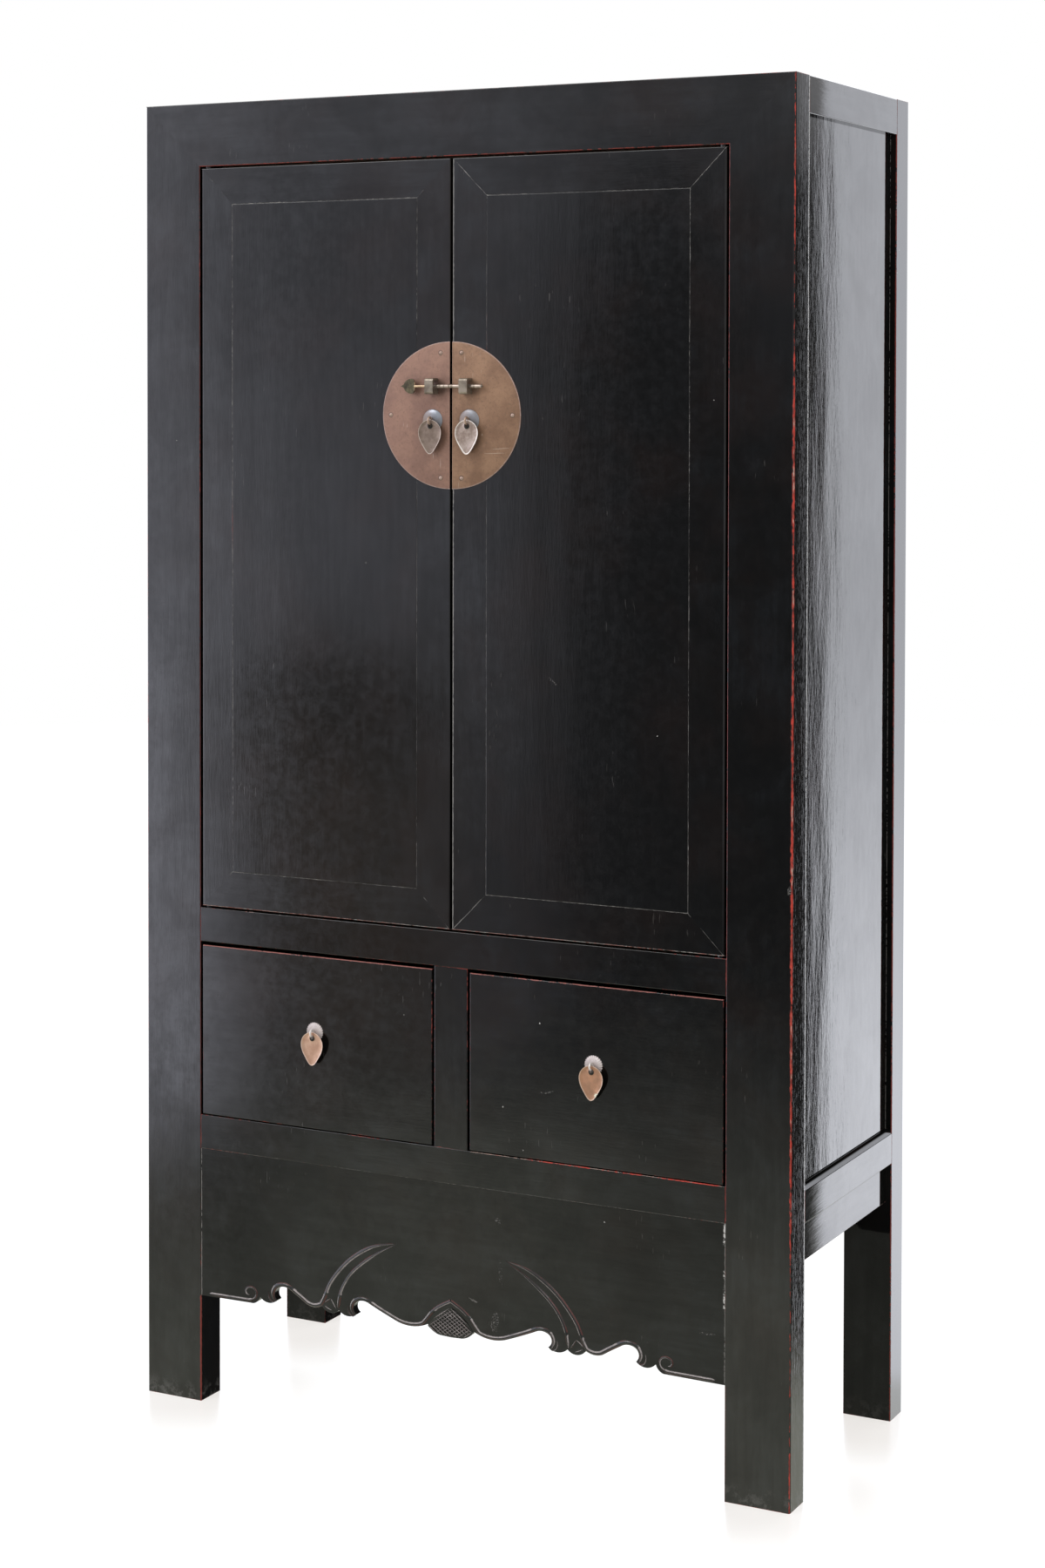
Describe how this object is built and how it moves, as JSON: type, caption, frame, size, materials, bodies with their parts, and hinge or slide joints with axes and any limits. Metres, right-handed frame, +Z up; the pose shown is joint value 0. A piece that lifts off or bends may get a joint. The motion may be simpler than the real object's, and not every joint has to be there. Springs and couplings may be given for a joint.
{
  "type": "wedding cabinet",
  "caption": "Tall lacquered cupboard on straight legs with pivoted doors, a round lock plate, drawers below and a carved apron.",
  "frame": {"origin": "on the floor under the middle of the case", "axes": "+X to the viewer's right, +Y from the front to the back, +Z up; the doors face -Y"},
  "size_m": [1.022, 0.4534, 1.9],
  "materials": {
    "black_lacquer": "gloss black lacquer over a red undercoat, worn at the edges",
    "inner_wood": "plain brown wood, thinly stained",
    "lock_copper": "aged dull copper-coloured brass",
    "pull_brass": "aged grey-brown brass with rubbed rims",
    "pull_copper": "aged tan copper-coloured brass"
  },
  "bodies": {
    "carcass": {"front_left_post": "black_lacquer", "front_right_post": "black_lacquer", "back_left_post": "black_lacquer", "back_right_post": "black_lacquer", "front_top_rail": "black_lacquer", "front_middle_rail": "black_lacquer", "front_drawer_rail": "black_lacquer", "drawer_divider": "black_lacquer", "back_top_rail": "black_lacquer", "back_bottom_rail": "black_lacquer", "back_panel": "inner_wood", "left_top_rail": "black_lacquer", "right_top_rail": "black_lacquer", "left_bottom_rail": "black_lacquer", "right_bottom_rail": "black_lacquer", "left_side_panel": "black_lacquer", "right_side_panel": "black_lacquer", "left_side_apron": "black_lacquer", "right_side_apron": "black_lacquer", "front_apron": "black_lacquer", "top_board": "inner_wood", "cupboard_floor": "inner_wood", "floor_bearers": "inner_wood", "drawer_runners": "inner_wood", "shelf_battens": "inner_wood", "shelves": "inner_wood", "door_stops": "inner_wood"},
    "left_door": {"left_door_hinge_stile": "black_lacquer", "left_door_meeting_stile": "black_lacquer", "left_door_top_rail": "black_lacquer", "left_door_bottom_rail": "black_lacquer", "left_door_panel": "black_lacquer", "left_lock_plate": "lock_copper", "left_plate_nails": "lock_copper", "left_lock_staple": "lock_copper", "left_door_pull_mount": "pull_brass"},
    "left_door_pull": {"left_door_pull_leaf": "pull_brass"},
    "left_drawer": {"left_drawer_front": "black_lacquer", "left_drawer_sides": "inner_wood", "left_drawer_back": "inner_wood", "left_drawer_bottom": "inner_wood", "left_drawer_pull_mount": "pull_copper"},
    "left_drawer_pull": {"left_drawer_pull_leaf": "pull_copper"},
    "right_door": {"right_door_hinge_stile": "black_lacquer", "right_door_meeting_stile": "black_lacquer", "right_door_top_rail": "black_lacquer", "right_door_bottom_rail": "black_lacquer", "right_door_panel": "black_lacquer", "right_lock_plate": "lock_copper", "right_plate_nails": "lock_copper", "right_lock_staple": "lock_copper", "right_door_pull_mount": "pull_brass"},
    "right_door_pull": {"right_door_pull_leaf": "pull_brass"},
    "right_drawer": {"right_drawer_front": "black_lacquer", "right_drawer_sides": "inner_wood", "right_drawer_back": "inner_wood", "right_drawer_bottom": "inner_wood", "right_drawer_pull_mount": "pull_copper"},
    "right_drawer_pull": {"right_drawer_pull_leaf": "pull_copper"},
    "lock_pin": {"lock_pin": "pull_brass"}
  },
  "joints": [
    {"name": "left_door_hinge", "type": "hinge", "parent": "carcass", "child": "left_door", "pos_m": [-0.406, -0.21, 1.269], "axis": [0, 0, -1], "range_deg": [0, 105]},
    {"name": "left_drawer_slide", "type": "slide", "parent": "carcass", "child": "left_drawer", "axis": [0, -1, 0], "range_m": [0, 0.3]},
    {"name": "left_door_pull_hinge", "type": "hinge", "parent": "left_door", "child": "left_door_pull", "pos_m": [-0.029, -0.2279, 1.4425], "axis": [-1, 0, 0], "range_deg": [-8, 95]},
    {"name": "left_drawer_pull_hinge", "type": "hinge", "parent": "left_drawer", "child": "left_drawer_pull", "pos_m": [-0.22175, -0.2265, 0.5655], "axis": [-1, 0, 0], "range_deg": [-8, 95]},
    {"name": "right_door_hinge", "type": "hinge", "parent": "carcass", "child": "right_door", "pos_m": [0.406, -0.21, 1.269], "axis": [0, 0, 1], "range_deg": [0, 105]},
    {"name": "right_drawer_slide", "type": "slide", "parent": "carcass", "child": "right_drawer", "axis": [0, -1, 0], "range_m": [0, 0.3]},
    {"name": "right_door_pull_hinge", "type": "hinge", "parent": "right_door", "child": "right_door_pull", "pos_m": [0.029, -0.2279, 1.4425], "axis": [-1, 0, 0], "range_deg": [-8, 95]},
    {"name": "right_drawer_pull_hinge", "type": "hinge", "parent": "right_drawer", "child": "right_drawer_pull", "pos_m": [0.22175, -0.2265, 0.5655], "axis": [-1, 0, 0], "range_deg": [-8, 95]},
    {"name": "lock_pin_slide", "type": "slide", "parent": "left_door", "child": "lock_pin", "axis": [-1, 0, 0], "range_m": [0, 0.053]}
  ]
}
